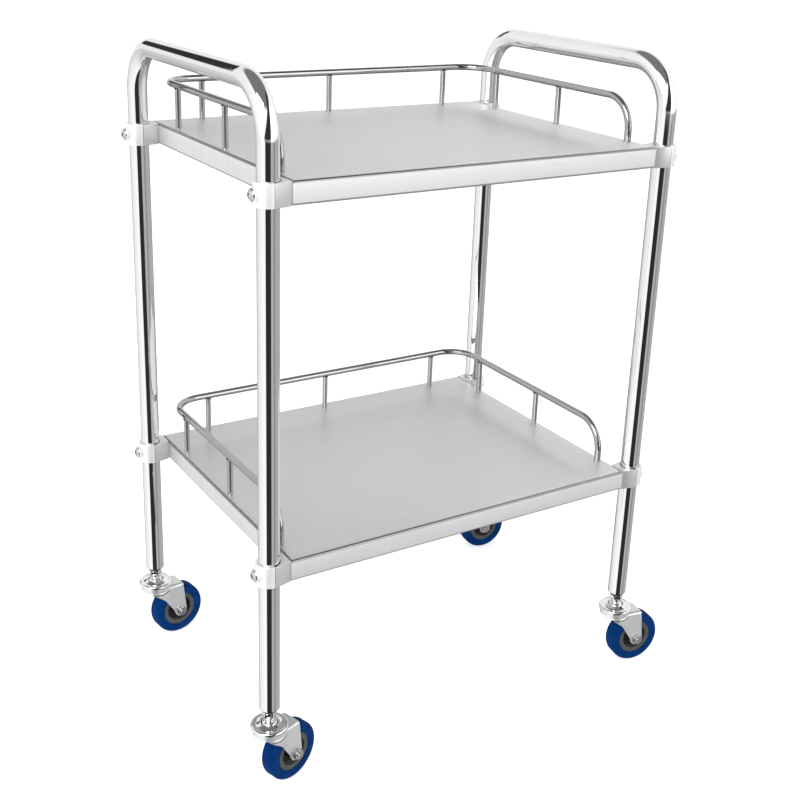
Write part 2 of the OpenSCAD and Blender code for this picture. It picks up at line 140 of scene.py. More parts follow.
# %% [markdown]
# ## Rods, turned parts and slabs
#
# Three rules make nearly everything here. A rod carries a circle along a path. A turned part spins a
# profile round an axis, and where a row of the profile has flats it is cut to a hexagon, which is how a nut
# is made from round bar. A slab stands an outline up between two heights and rounds both rims, as tumbling
# does to a casting.

# %% Rod along a path
def arc(centre, start, end, degrees=90, steps=24):
    """Points on a circular arc: centre + cos(a) * start + sin(a) * end, with a from 0 to `degrees`."""
    a = np.radians(np.linspace(0, degrees, steps + 1))[:, None]
    return np.array(centre) + np.cos(a) * np.array(start) + np.sin(a) * np.array(end)


def rings(path, radius, sides, beside):
    """Circles square to a path. The two directions across the path are tangent x beside and its cross
    product with the tangent, so `beside` is any direction that the path never follows."""
    tangent = np.gradient(path, axis=0)
    tangent /= np.linalg.norm(tangent, axis=1)[:, None]
    across = np.cross(tangent, np.array(beside, dtype=float))
    across /= np.linalg.norm(across, axis=1)[:, None]
    other = np.cross(tangent, across)
    a = np.linspace(0, 2 * np.pi, sides, endpoint=False)[None, :, None]
    r = np.broadcast_to(radius, len(path))[:, None, None]
    return path[:, None] + r * (np.cos(a) * across[:, None] + np.sin(a) * other[:, None])


def rod(path, radius, sides=48, beside=(1, 1, 1)):
    """A solid rod: rings along the path, closed by a flat face at each end."""
    points = rings(path, radius, sides, beside)
    faces = grid_faces(len(path), sides, close_columns=True)
    last = (len(path) - 1) * sides
    faces += [list(range(sides)), list(range(last, last + sides))]
    return points.reshape(-1, 3), faces


def pipe(path, radius, wall, sides=64, beside=(1, 0, 0)):
    """A hollow tube: the outer rings in order, then the inner rings in reverse, closed into one skin."""
    outer = rings(path, radius, sides, beside)
    inner = rings(path, radius - wall, sides, beside)[::-1]
    points = np.concatenate([outer, inner])
    return points.reshape(-1, 3), grid_faces(len(points), sides, close_rows=True, close_columns=True)


# %% Turned part
def turned(rows, sides=72, closed=False):
    """A profile spun round +Z. A row is (radius, height) or (radius, height, flats): with flats, the radius
    is the smaller of `radius` and the hexagon's, flats / 2 / cos(angle from the nearest flat's middle)."""
    a = np.linspace(0, 2 * np.pi, sides, endpoint=False)
    from_flat = (a + np.pi / 6) % (np.pi / 3) - np.pi / 6
    radius = np.array([np.minimum(row[0], row[2] / 2 / np.cos(from_flat)) if len(row) > 2
                       else np.full(sides, row[0]) for row in rows])
    height = np.array([row[1] for row in rows])[:, None] + 0 * a
    points = np.stack([radius * np.cos(a), radius * np.sin(a), height], axis=-1)
    faces = grid_faces(len(rows), sides, close_rows=closed, close_columns=True)
    return points.reshape(-1, 3), faces


def fillet(centre, radius, start, end, steps=8):
    """Profile rows on an arc about `centre`, from `start` to `end` degrees."""
    a = np.radians(np.linspace(start, end, steps + 1))
    return [(centre[0] + radius * math.cos(t), centre[1] + radius * math.sin(t)) for t in a]


# %% Slab with rounded rims
def slab(outline, low, high, rim, steps=4):
    """An outline stood up from `low` to `high`. Near each end the outline moves in by rim * (1 - sin(t))
    while it rises by rim * (1 - cos(t)), a quarter circle, with the corners mitred."""
    outline = np.array(outline, dtype=float)
    edge = np.roll(outline, -1, axis=0) - outline
    normal = np.stack([-edge[:, 1], edge[:, 0]], axis=1) / np.linalg.norm(edge, axis=1)[:, None]
    before = np.roll(normal, 1, axis=0)
    inward = (normal + before) / (1 + np.sum(normal * before, axis=1))[:, None]
    t = np.linspace(0, np.pi / 2, steps + 1)
    inset = rim * (1 - np.sin(t))
    rise = rim * (1 - np.cos(t))
    inset = np.concatenate([inset, inset[::-1]])
    height = np.concatenate([low + rise, high - rise[::-1]])
    layers = outline[None] + inset[:, None, None] * inward[None]
    level = np.broadcast_to(height[:, None, None], layers.shape[:2] + (1,))
    points = np.concatenate([layers, level], axis=-1)
    count = len(outline)
    faces = grid_faces(len(height), count, close_columns=True)
    last = (len(height) - 1) * count
    faces += [list(range(count)), list(range(last, last + count))]
    return points.reshape(-1, 3), faces


# %% [markdown]
# ## Finishes
#
# A finish starts from what the metal, plastic or rubber is and how its surface was made. Every one is a
# small tree of nodes: noises the size of the real marks drive a little of the colour, the roughness and a
# shallow bump. Nothing is read from an image.

# %% Node helpers
def linear(hex_colour):
    """An sRGB hex value as a linear colour: c / 12.92 below 0.04045, else ((c + 0.055) / 1.055) ** 2.4."""
    c = np.array([int(hex_colour[k:k + 2], 16) for k in (1, 3, 5)]) / 255
    c = np.where(c <= 0.04045, c / 12.92, ((c + 0.055) / 1.055) ** 2.4)
    return (*c.tolist(), 1.0)


def node(tree, kind, settings=(), **sockets):
    """Adds one node: `settings` are its attributes, and each keyword is a socket's value or the socket it
    takes. Underscores in a keyword are spaces, and a trailing number picks an input by its place."""
    made = tree.nodes.new("ShaderNode" + kind)
    for key, value in dict(settings).items():
        setattr(made, key, value)
    for key, value in sockets.items():
        socket = made.inputs[int(key[1:])] if key[1:].isdigit() else made.inputs[key.replace("_", " ")]
        if isinstance(value, bpy.types.NodeSocket):
            tree.links.new(value, socket)
        else:
            socket.default_value = value
    return made


def finish(name, **constants):
    """A new material with a Principled shader. The constants are set on the shader's own sockets."""
    material = bpy.data.materials.new(name)
    material.use_nodes = True
    tree = material.node_tree
    shader = tree.nodes["Principled BSDF"]
    for key, value in constants.items():
        shader.inputs[key.replace("_", " ")].default_value = value
    return material, tree, shader


def marks(tree, size, stretch=(1, 1, 1), detail=4.0, roughness=0.55, uv=None):
    """Noise whose marks are `size` metres across, longer along each axis by its stretch. It is read from
    Object coordinates, or from a UV map where the marks follow a folded sheet."""
    where = node(tree, "UVMap", {"uv_map": uv}).outputs[0] if uv else node(tree, "TexCoord").outputs["Object"]
    scale = tuple(1 / (size * s) for s in stretch)
    spot = node(tree, "Mapping", Vector=where, Scale=scale)
    return node(tree, "TexNoise", Vector=spot.outputs[0], Scale=1.0, Detail=detail, Roughness=roughness)


NOISE_LOW, NOISE_HIGH = 0.3, 0.7  # most of a noise lies between these


def spread(tree, value, low, high):
    """A noise value mapped to run from `low` to `high`."""
    limits = {"From_Min": NOISE_LOW, "From_Max": NOISE_HIGH, "To_Min": low, "To_Max": high}
    return node(tree, "MapRange", Value=value, **limits).outputs[0]


def tint(tree, value, dark, light):
    """A colour between two hex values, chosen by a noise value."""
    ramp = node(tree, "ValToRGB", Fac=value)
    ramp.color_ramp.elements[0].position = NOISE_LOW
    ramp.color_ramp.elements[0].color = linear(dark)
    ramp.color_ramp.elements[1].position = NOISE_HIGH
    ramp.color_ramp.elements[1].color = linear(light)
    return ramp.outputs[0]


def bump(tree, height, depth):
    """A bump as deep as `depth` metres between the lowest and the highest of the marks."""
    return node(tree, "Bump", Height=height, Strength=1.0, Distance=depth).outputs[0]


def dot(tree, direction, axis):
    """The part of a direction that lies along an axis."""
    made = node(tree, "VectorMath", {"operation": "DOT_PRODUCT"}, _0=direction, _1=tuple(axis))
    return made.outputs["Value"]


def step(tree, value, start, end):
    """0 before `start`, 1 after `end`, and even between."""
    return node(tree, "MapRange", Value=value, From_Min=start, From_Max=end).outputs[0]


def math_node(tree, operation, *values):
    """One arithmetic node."""
    inputs = {f"_{k}": value for k, value in enumerate(values)}
    return node(tree, "Math", {"operation": operation}, **inputs).outputs[0]


def product(tree, *values):
    """All the values multiplied together."""
    total = values[0]
    for value in values[1:]:
        total = math_node(tree, "MULTIPLY", total, value)
    return total


def blend(tree, share, under, over):
    """Colour `under` where share is 0, `over` where it is 1."""
    return node(tree, "Mix", {"data_type": "RGBA"}, _0=share, _6=under, _7=over).outputs[2]


METAL_CLOUD = 25 * MM


def worn_metal(name, dark, light, size, shine, depth, metallic=1.0):
    """A bare or plated metal: fine marks vary its colour and stand as a shallow bump, and broad clouds vary
    its roughness."""
    material, tree, shader = finish(name, Metallic=metallic)
    grain = marks(tree, size).outputs[0]
    cloud = marks(tree, METAL_CLOUD).outputs[0]
    link = tree.links.new
    link(tint(tree, grain, dark, light), shader.inputs["Base Color"])
    link(spread(tree, cloud, *shine), shader.inputs["Roughness"])
    link(bump(tree, grain, depth), shader.inputs["Normal"])
    return material


# %% [markdown]
# ### Stainless steel
#
# The tubes are 304 stainless, buffed to a mirror: the eye sees the room, with a trace of the polishing
# wheel. The rods were tumbled, so they are a little softer, and their colour is painted darker: painted
# shade, standing for the darker reflections that they show.

# %% Stainless finishes
MIRROR = worn_metal("mirror_polished_stainless", "#ebebec", "#efeff0", 3 * MM, (0.03, 0.06), 0.0002 * MM)
# The rod's colour is painted darker than the tube's: painted shade for the rods' darker reflections.
ROD = worn_metal("polished_stainless_rod", "#a2a2a4", "#b0b0b2", 2 * MM, (0.06, 0.12), 0.0005 * MM)

# %% [markdown]
# ### Castings, plating, plastic and rubber
#
# The clamps are zinc die castings, pale and matt, and only partly metal to the shader. The cap, which faces
# out, is given a paler colour and less metal than the saddle, which faces the tray: they are lit and shaded
# copies of one casting, painted light on the cap and painted shade on the saddle. The caster's caps are
# chrome plate, which shows the room with a cool cast, and the forks are pressed steel with satin zinc plate,
# whose crystals give a faint cloudy grain. The wheel has a blue elastic rubber tyre on a dark nylon hub, and
# the tube ends are closed by black polyethylene plugs. The tyre has almost no gloss, so that pale light
# doesn't wash out its deep blue.

# %% Castings, plating, plastic and rubber
# One casting in two copies: the cap's paler colour and lower metal are painted light, and the saddle's darker
# colour is painted shade.
CAST_LIT_COPY = worn_metal("die_cast_zinc_painted_lit", "#eeeeee", "#f6f6f6", 0.8 * MM, (0.38, 0.5), 0.006 * MM,
                         metallic=0.5)
CAST_SHADED_COPY = worn_metal("die_cast_zinc_painted_shade", "#dadadb", "#e8e8e8", 0.8 * MM, (0.36, 0.46), 0.008 * MM,
                        metallic=0.8)
PLATED = worn_metal("bright_nickel_plate", "#bcbcbd", "#cccccd", 1.2 * MM, (0.10, 0.18), 0.001 * MM)
CHROME = worn_metal("chrome_plate", "#e4e6e8", "#f0f1f2", 2.5 * MM, (0.05, 0.10), 0.0003 * MM)
ZINC = worn_metal("satin_zinc_plate", "#dcdcde", "#f0f0f1", 0.9 * MM, (0.26, 0.38), 0.008 * MM,
                  metallic=0.75)
BEARING = worn_metal("greased_bearing_steel", "#8a8780", "#a5a29b", 1 * MM, (0.2, 0.3), 0.004 * MM)


SKIN_CLOUD = 14 * MM


def moulded(name, dark, light, size, shine, depth, **constants):
    """A moulded plastic or rubber: fine grain varies its shine and stands as a bump, and broad clouds vary
    its colour."""
    material, tree, shader = finish(name, **constants)
    grain = marks(tree, size).outputs[0]
    cloud = marks(tree, SKIN_CLOUD).outputs[0]
    link = tree.links.new
    link(tint(tree, cloud, dark, light), shader.inputs["Base Color"])
    link(spread(tree, grain, *shine), shader.inputs["Roughness"])
    link(bump(tree, grain, depth), shader.inputs["Normal"])
    return material


TYRE = moulded("blue_elastic_rubber", "#00295a", "#003370", 0.7 * MM, (0.4, 0.52), 0.01 * MM, IOR=1.5,
               Specular_IOR_Level=0.03)
HUB_GREY = moulded("grey_nylon", "#3f4143", "#4a4c4e", 0.6 * MM, (0.4, 0.5), 0.015 * MM, IOR=1.53)
# The centre's near-black is partly the nylon's own colour and partly painted shade for its deep recess.
HUB_BLACK_AND_SHADE = moulded("black_nylon_and_painted_shade", "#0b0b0c", "#141415", 0.6 * MM, (0.45, 0.6), 0.015 * MM, IOR=1.53)
PLUG = moulded("black_polyethylene", "#0c0c0d", "#151516", 0.5 * MM, (0.35, 0.5), 0.015 * MM, IOR=1.51)
print("finishes:", [m.name for m in bpy.data.materials if m.use_nodes])

# %% [markdown]
# ## End frames
#
# Each end of the cart is one tube bent twice into an upside-down U. A bender keeps the tube round through
# the bend, so a circle carried along straight, arc, straight, arc, straight is the true shape. The tube is
# open at the foot, so the surface turns in at the rim and comes back along the bore.

# %% End frames
HANDLE_BEND = 60 * MM
TUBE_WALL = 1.2 * MM


def end_frame(side):
    """One U of tube in the plane x = the leg's own x."""
    low, high = (np.array(v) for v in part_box(side + "_frame_tube"))
    radius = (high[0] - low[0]) / 2
    x = (high[0] + low[0]) / 2
    near, far = low[1] + radius, high[1] - radius
    top = high[2] - radius
    bend = HANDLE_BEND
    path = np.concatenate([
        [(x, near, low[2])],
        arc((x, near + bend, top - bend), (0, -bend, 0), (0, 0, bend)),
        arc((x, far - bend, top - bend), (0, 0, bend), (0, bend, 0)),
        [(x, far, low[2])],
    ])
    return piece(side + "_loop", pipe(path, radius, TUBE_WALL), MIRROR, "root", [side + "_frame_tube"])


for side in ("left", "right"):
    print(end_frame(side).name, "made")

# %% [markdown]
# ## Trays
#
# A tray is one sheet folded down on all four sides, with a narrow lip folded in at the bottom. The folds
# meet at mitred corners, which leave a hairline seam down each corner. The surface is a strip per side,
# made of the outer skin and the inner skin of the fold, and a flat deck between them. Its UV map is the
# sheet laid flat again, so that the belt grain follows the sheet round its folds.

# %% Fold profile
SHEET = 1.5 * MM
FOLD = 3 * MM
LIP = 12 * MM
DECK_EDGE = 12 * MM
SEAM = 0.35 * MM
ROUNDING = 0.03 * MM  # lets a height that should equal another differ by the computer's rounding


def fold_profile(depth, steps=6):
    """Outer skin and inner skin of one folded edge as (distance in from the side, height below the deck,
    length along the sheet), each from the deck's edge to the lip's edge."""
    inside = FOLD - SHEET
    a = np.radians(np.linspace(90, 180, steps + 1))
    b = np.radians(np.linspace(180, 270, steps + 1))
    skins = []
    for r in (FOLD, inside):
        top = np.stack([FOLD + r * np.cos(a), r * np.sin(a) - FOLD], axis=1)
        foot = np.stack([FOLD + r * np.cos(b), FOLD - depth + r * np.sin(b)], axis=1)
        start = [(DECK_EDGE, top[0, 1])]
        end = [(LIP, foot[-1, 1])]
        skins.append(np.concatenate([start, top, foot, end]))
    outer, inner = skins
    along = np.concatenate([[0], np.cumsum(np.linalg.norm(np.diff(outer, axis=0), axis=1))])
    return outer, inner, along


# %% [markdown]
# The sheet was brushed flat with a belt before it was folded, so its grain runs along the shelf and turns
# down over the side folds. Belt grain is about 0.1 mm wide, too fine to show, so it is drawn 0.5 mm wide
# and many times as long. Each fold is made smoother than the flats beside it, and painted darker: the
# darker colour is painted shade, standing for the dark line that shows along each fold. How far a point
# lies out from the deck's edge, along the sheet, is the larger of |u| - half length and |v| - half depth,
# and each fold is a band of it.

# %% Brushed sheet
PAN_LOW, PAN_HIGH = (np.array(v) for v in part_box("upper_tray"))
DECK_HALF = (PAN_HIGH - PAN_LOW) / 2 - DECK_EDGE
FLANGE = PAN_HIGH[2] - PAN_LOW[2]
FOLD_LENGTH = FOLD * math.pi / 2
GRAIN = 0.5 * MM
STREAK = 9 * MM
STREAK_SHARE = 0.45
BAND_EDGE = 0.4 * MM
FOLD_SMOOTHING = 0.22  # how much smoother a fold band is


def brushed_sheet():
    """Belt-brushed stainless: long thin noise along u, with a smoother band on both folds that is painted
    darker, as painted shade for the dark line along each fold. The highlights of brushed metal stretch across
    the grain, so the tangent is turned a quarter from u."""
    material, tree, shader = finish("belt_brushed_stainless", Metallic=0.9, Anisotropic=0.75,
                                    Anisotropic_Rotation=0.25)
    fine = marks(tree, GRAIN, (120, 1, 1), 3.0, 0.6, uv="sheet").outputs[0]
    broad = marks(tree, STREAK, (22, 1, 1), 3.0, 0.5, uv="sheet").outputs[0]
    both = node(tree, "Mix", {"data_type": "FLOAT"}, _0=STREAK_SHARE, _2=fine, _3=broad).outputs[0]
    sheet = node(tree, "SeparateXYZ", Vector=node(tree, "UVMap", {"uv_map": "sheet"}).outputs[0])
    out_x = math_node(tree, "SUBTRACT", math_node(tree, "ABSOLUTE", sheet.outputs[0]), DECK_HALF[0])
    out_y = math_node(tree, "SUBTRACT", math_node(tree, "ABSOLUTE", sheet.outputs[1]), DECK_HALF[1])
    out = math_node(tree, "MAXIMUM", out_x, out_y)
    upper = DECK_EDGE - FOLD
    lower = upper + FOLD_LENGTH + FLANGE - 2 * FOLD
    # Painted shade: each fold is a band, the upper one full and the lower one at 0.6, that darkens the base
    # colour and lowers the roughness.
    fold_band_and_shade = 0
    for start, strength in ((upper, 1.0), (lower, 0.6)):
        end = start + FOLD_LENGTH
        rise = step(tree, out, start, start + BAND_EDGE)
        band = product(tree, rise, step(tree, out, end, end - BAND_EDGE), strength)
        fold_band_and_shade = math_node(tree, "ADD", fold_band_and_shade, band)
    link = tree.links.new
    flat_colour = tint(tree, both, "#e6e6e8", "#f0f0f1")
    # The fold bands take the dark grey #8e8e90: painted shade along the folds.
    link(blend(tree, fold_band_and_shade, flat_colour, linear("#8e8e90")), shader.inputs["Base Color"])
    rough = math_node(tree, "MULTIPLY_ADD", fold_band_and_shade, -FOLD_SMOOTHING, spread(tree, both, 0.40, 0.50))
    link(rough, shader.inputs["Roughness"])
    link(bump(tree, fine, 0.006 * MM), shader.inputs["Normal"])
    along_u = node(tree, "Tangent", {"direction_type": "UV_MAP", "uv_map": "sheet"}).outputs[0]
    link(along_u, shader.inputs["Tangent"])
    return material


BRUSHED = brushed_sheet()


# %% Tray surface
def tray_side(outer, inner, along, half_run, half_other, turn):
    """One folded side. Both skins are carried along the side: at each profile point the strip stops short
    of the corner by its own distance in, which is the mitre, and on the flange by half a seam more."""
    flange = outer[:, 1] < -FOLD + ROUNDING
    stop = np.where(flange, SEAM / 2, 0)
    points, uv = [], []
    for skin in (outer, inner):
        for end in (-1, 1):
            run = end * (half_run - skin[:, 0] - stop)
            points.append(np.stack([run, -(half_other - skin[:, 0]), skin[:, 1]], axis=1))
            uv.append(np.stack([run, -(half_other - DECK_EDGE) - along], axis=1))
    count = len(along)
    faces = []
    outer_start, outer_end, inner_start, inner_end = (k * count for k in range(4))
    for k in range(count - 1):
        faces.append([outer_start + k, outer_end + k, outer_end + k + 1, outer_start + k + 1])
        faces.append([inner_start + k, inner_start + k + 1, inner_end + k + 1, inner_end + k])
        if flange[k] or flange[k + 1]:
            faces.append([outer_start + k, outer_start + k + 1, inner_start + k + 1, inner_start + k])
            faces.append([outer_end + k, inner_end + k, inner_end + k + 1, outer_end + k + 1])
    last = count - 1
    faces.append([outer_start + last, outer_end + last, inner_end + last, inner_start + last])
    points, uv = np.concatenate(points), np.concatenate(uv)
    c, s = turn
    spin = np.array([[c, s], [-s, c]])
    points[:, :2] = points[:, :2] @ spin
    return points, faces, uv @ spin


def tray(level):
    """The four folded sides round a flat deck."""
    low, high = (np.array(v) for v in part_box(level + "_tray"))
    half_x, half_y = (high[0] - low[0]) / 2, (high[1] - low[1]) / 2
    outer, inner, along = fold_profile(high[2] - low[2])
    sides = [
        tray_side(outer, inner, along, half_x, half_y, (1, 0)),
        tray_side(outer, inner, along, half_y, half_x, (0, 1)),
        tray_side(outer, inner, along, half_x, half_y, (-1, 0)),
        tray_side(outer, inner, along, half_y, half_x, (0, -1)),
    ]
    x, y = half_x - DECK_EDGE, half_y - DECK_EDGE
    corners = np.array([(-x, -y, 0), (x, -y, 0), (x, y, 0), (-x, y, 0)])
    deck = np.concatenate([corners, corners - (0, 0, SHEET)])
    parts = [(points, faces) for points, faces, _ in sides] + [(deck, [[0, 1, 2, 3], [4, 7, 6, 5]])]
    uv = np.concatenate([flat for _, _, flat in sides] + [deck[:, :2]])
    centre = ((low[0] + high[0]) / 2, (low[1] + high[1]) / 2, high[2])
    return piece(level + "_pan", placed(joined(*parts), centre), BRUSHED, "root", [level + "_tray"],
                 sheet_uv=uv)


for level in ("upper", "lower"):
    print(tray(level).name, "made")

# %% [markdown]
# ## Guard rails
#
# Each rail is one thin rod. It rises from the deck near the front, bends back, runs round three sides and
# comes down again, so its path is a chain of straight runs and quarter circles in two planes. Short posts
# hold it up. They are welded to the rail and the deck, and a weld leaves a small flare at each end.

# %% Guard rails
RAIL_R = 4.5 * MM
RAIL_BEND = 40 * MM


def rail_path(level):
    """Foot, bend, side run, corner, back run, and the same again in reverse."""
    low, high = (np.array(v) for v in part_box(level + "_guard_rail"))
    (left, near, foot), (right, far, top) = low + (RAIL_R, RAIL_R, 0), high - RAIL_R
    bend = RAIL_BEND
    return np.concatenate([
        [(left, near, foot)],
        arc((left, near + bend, top - bend), (0, -bend, 0), (0, 0, bend)),
        arc((left + bend, far - bend, top), (-bend, 0, 0), (0, bend, 0)),
        arc((right - bend, far - bend, top), (0, bend, 0), (bend, 0, 0)),
        arc((right, near + bend, top - bend), (0, 0, bend), (0, -bend, 0)),
        [(right, near, foot)],
    ])


for level in ("upper", "lower"):
    rail = piece(level + "_rail", rod(rail_path(level), RAIL_R), ROD, "root", [level + "_guard_rail"])
    print(rail.name, "made with", len(rail.data.vertices), "points")

# %% Rail posts
POST_R = 3.75 * MM
WELD = 1.4 * MM
REAR_POST = 72 * MM
MIDDLE_POST = 215 * MM
BACK_POST = 190 * MM


def weld_flare(distance):
    """How much a weld widens a post: WELD at the joint, falling to nothing over one WELD as a quarter
    circle."""
    t = np.clip(distance / WELD, 0, 1)
    return WELD * (1 - np.sqrt(1 - (1 - t) ** 2))


def post(foot, top):
    """A round post whose radius is POST_R plus the flare of the weld at each end."""
    near_end = np.linspace(0, WELD, 7)
    height = np.concatenate([foot + near_end, top - near_end[::-1]])
    radius = POST_R + weld_flare(np.minimum(height - foot, top - height))
    return turned([(0, foot), *zip(radius, height), (0, top)], sides=24)


def rail_posts(level):
    """Two posts under each side of the rail and three under its back. A post reaches a quarter of the sheet
    into the deck and half a weld into the rail, so that no gap shows."""
    tray_high = np.array(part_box(level + "_tray")[1])
    rail_low, rail_high = (np.array(v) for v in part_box(level + "_guard_rail"))
    x_left, x_right = rail_low[0] + RAIL_R, rail_high[0] - RAIL_R
    centre = (x_left + x_right) / 2
    back = rail_high[1] - RAIL_R
    feet = [(x, tray_high[1] - gap) for x in (x_left, x_right) for gap in (REAR_POST, MIDDLE_POST)]
    feet += [(centre + x, back) for x in (-BACK_POST, 0, BACK_POST)]
    one = post(tray_high[2] - SHEET / 4, rail_high[2] - 2 * RAIL_R + WELD / 2)
    return joined(*(placed(one, (x, y, 0)) for x, y in feet))


for level in ("upper", "lower"):
    posts = piece(level + "_posts", rail_posts(level), ROD, "root", [level + "_rail_posts"])
    print(posts.name, "made")

# %% [markdown]
# ## Clamps
#
# A clamp is a zinc casting in two halves. The cap goes round the outside of the leg, and the saddle sits
# between the leg and the tray, with arms that run tangent to its round part and meet the side of the tray.
# A slit shows between them. Seen from above, each half is an outline of arcs and straight lines, so it is a
# slab with its rims rounded as tumbling leaves them, and the cap has a low round boss for the bolt's head
# to bear on.

# %% Clamp sizes
TUBE_R = (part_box("left_frame_tube")[1][0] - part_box("left_frame_tube")[0][0]) / 2
LEGS = {}
for side in ("left", "right"):
    low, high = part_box(side + "_frame_tube")
    for row, y in (("front", low[1] + TUBE_R), ("back", high[1] - TUBE_R)):
        LEGS[row + "_" + side] = np.array([(low[0] + high[0]) / 2, y, 0])
CLAMP_R = TUBE_R + 4 * MM
CLAMP_BORE = TUBE_R + 0.1 * MM
CLAMP_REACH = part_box("upper_tray")[0][0] - LEGS["front_left"][0]
ARM_HALF = 12 * MM
SLIT = 0.7 * MM
RIM = 0.8 * MM
BOSS_R = 9 * MM
BOSS_REACH = CLAMP_R + 2 * MM


def ring_arc(radius, start, end, steps):
    """Points of a circle about the leg from `start` to `end` degrees."""
    a = np.radians(np.linspace(start, end, steps + 1))
    return np.stack([radius * np.cos(a), radius * np.sin(a)], axis=1)


def slit_angle(radius):
    """The angle between the slit's middle and its edge, on a circle about the leg."""
    return math.degrees(math.asin(SLIT / 2 / radius))


# %% Clamp halves
def cap_outline():
    """Half a ring on the -X side of the leg: outer arc, then the bore's arc back."""
    outer, bore = slit_angle(CLAMP_R), slit_angle(CLAMP_BORE)
    return np.concatenate([ring_arc(CLAMP_R, 90 + outer, 270 - outer, 40),
                           ring_arc(CLAMP_BORE, 270 - bore, 90 + bore, 40)])


def saddle_outline():
    """The other half: a short arc, a tangent arm to the tray's side, its end face, and back along the
    bore."""
    outer, bore = slit_angle(CLAMP_R), slit_angle(CLAMP_BORE)
    span = math.hypot(CLAMP_REACH, ARM_HALF)
    touch = math.degrees(math.atan2(ARM_HALF, CLAMP_REACH) + math.acos(CLAMP_R / span))
    end = np.array([(CLAMP_REACH - RIM, -ARM_HALF), (CLAMP_REACH, -ARM_HALF + RIM),
                    (CLAMP_REACH, ARM_HALF - RIM), (CLAMP_REACH - RIM, ARM_HALF)])
    return np.concatenate([ring_arc(CLAMP_R, outer - 90, -touch, 4), end,
                           ring_arc(CLAMP_R, touch, 90 - outer, 4),
                           ring_arc(CLAMP_BORE, 90 - bore, bore - 90, 40)])


def bolt_boss():
    """A low round boss on the cap, spun about the bolt and facing away from the leg."""
    rows = [(0, TUBE_R + MM), (BOSS_R, TUBE_R + MM), *fillet((BOSS_R - RIM, BOSS_REACH - RIM), RIM, 0, 90),
            (0, BOSS_REACH)]
    return placed(turned(rows), (0, 0, 0), x=(0, 0, 1), y=(0, 1, 0), z=(-1, 0, 0))


def clamp(level, corner):
    """Both halves of one clamp. It is drawn for a left leg and turned half round for a right one."""
    low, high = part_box(level + "_tray")
    depth = high[2] - low[2]
    facing = 1 if corner.endswith("left") else -1
    where = LEGS[corner] + (0, 0, high[2] - depth / 2)
    turn = {"x": (facing, 0, 0), "y": (0, facing, 0)}
    # The cap takes the painted-light copy of the casting's finish, and the saddle takes the painted-shade
    # copy.
    halves = (
        ("clamp_cap", joined(slab(cap_outline(), -depth / 2, depth / 2, RIM), bolt_boss()), CAST_LIT_COPY,
         "bright_clamp"),
        ("clamp_saddle", slab(saddle_outline(), -depth / 2, depth / 2, RIM), CAST_SHADED_COPY, "satin_clamp"),
    )
    for kind, part, metal, slot in halves:
        stem = level + "_" + corner + "_"
        piece(stem + kind.replace("clamp", "cast"), placed(part, where, **turn), metal, "root", [stem + kind])


for level in ("upper", "lower"):
    for corner in LEGS:
        clamp(level, corner)
print("clamps made for", list(LEGS))

# %% [markdown]
# ## Clamp bolts
#
# One button-head bolt goes through each clamp, its leg and the tray's side, to a washer and a nut inside
# the fold. A button head is a slice of a sphere with a hexagon socket. All eight share one node, so they
# are one mesh.

# %% Clamp bolts, washers and nuts
BOLT_R = 4 * MM
HEAD_R = 7.5 * MM
HEAD_H = 4.5 * MM
SOCKET = 5 * MM
SOCKET_DEPTH = 2.6 * MM
THREAD = 1.25 * MM
THREAD_DEPTH = 0.45 * MM
WASHER_T = 1.6 * MM
NUT_FLATS = 13 * MM
NUT_H = 6.4 * MM
BOLT_TAIL = 2 * MM
TURNED = 0.97  # a hexagon's face is turned to this share of its flats
TURNED_SLOPE = math.tan(math.radians(30))


def threaded(start, end):
    """Profile rows of a thread from `start` to `end`: the radius swings between crest and root each half
    pitch."""
    count = max(2, round(abs(end - start) / THREAD * 2))
    heights = np.linspace(start, end, count + 1)
    return [(BOLT_R - THREAD_DEPTH * (k % 2), h) for k, h in enumerate(heights)]


def hexagon_nut(height, flats=NUT_FLATS, bore=BOLT_R):
    """A hexagon whose corners are turned off at 30 degrees on both faces, round a bore."""
    corner = flats / math.sqrt(3)
    edge = flats / 2 * TURNED
    drop = (corner - edge) * TURNED_SLOPE
    rows = [(bore, 0), (edge, 0), (corner, drop, flats), (corner, height - drop, flats), (edge, height),
            (bore + 0.5 * MM, height), (bore, height - 0.5 * MM)]
    return turned(rows, closed=True)


def button_bolt():
    """Head above z = 0 and shank below it."""
    ball = (HEAD_R ** 2 + HEAD_H ** 2) / (2 * HEAD_H)
    rim = SOCKET / math.sqrt(3) + 0.4 * MM
    top = HEAD_H - ball + math.sqrt(ball ** 2 - rim ** 2)
    start = math.degrees(math.acos(rim / ball))
    end = math.degrees(math.asin((ball - HEAD_H) / ball))
    length = BOSS_REACH + CLAMP_REACH + SHEET + WASHER_T + NUT_H + BOLT_TAIL
    floor = HEAD_H - SOCKET_DEPTH
    rows = [(0, floor), (HEAD_R, floor, SOCKET), (HEAD_R, top, SOCKET),
            *fillet((0, HEAD_H - ball), ball, start, end), (HEAD_R, 0), (BOLT_R, 0), (BOLT_R, NUT_H - length),
            *threaded(NUT_H / 2 - length, MM / 2 - length), (BOLT_R - MM / 2, -length), (0, -length)]
    return turned(rows)


def flat_washer():
    """A stamped ring with its upper rim rounded by the punch."""
    r = WASHER_T / 3
    outer = 2 * BOLT_R
    rows = [(BOLT_R, 0), (outer, 0), *fillet((outer - r, WASHER_T - r), r, 0, 90, 4), (BOLT_R, WASHER_T)]
    return turned(rows, closed=True)


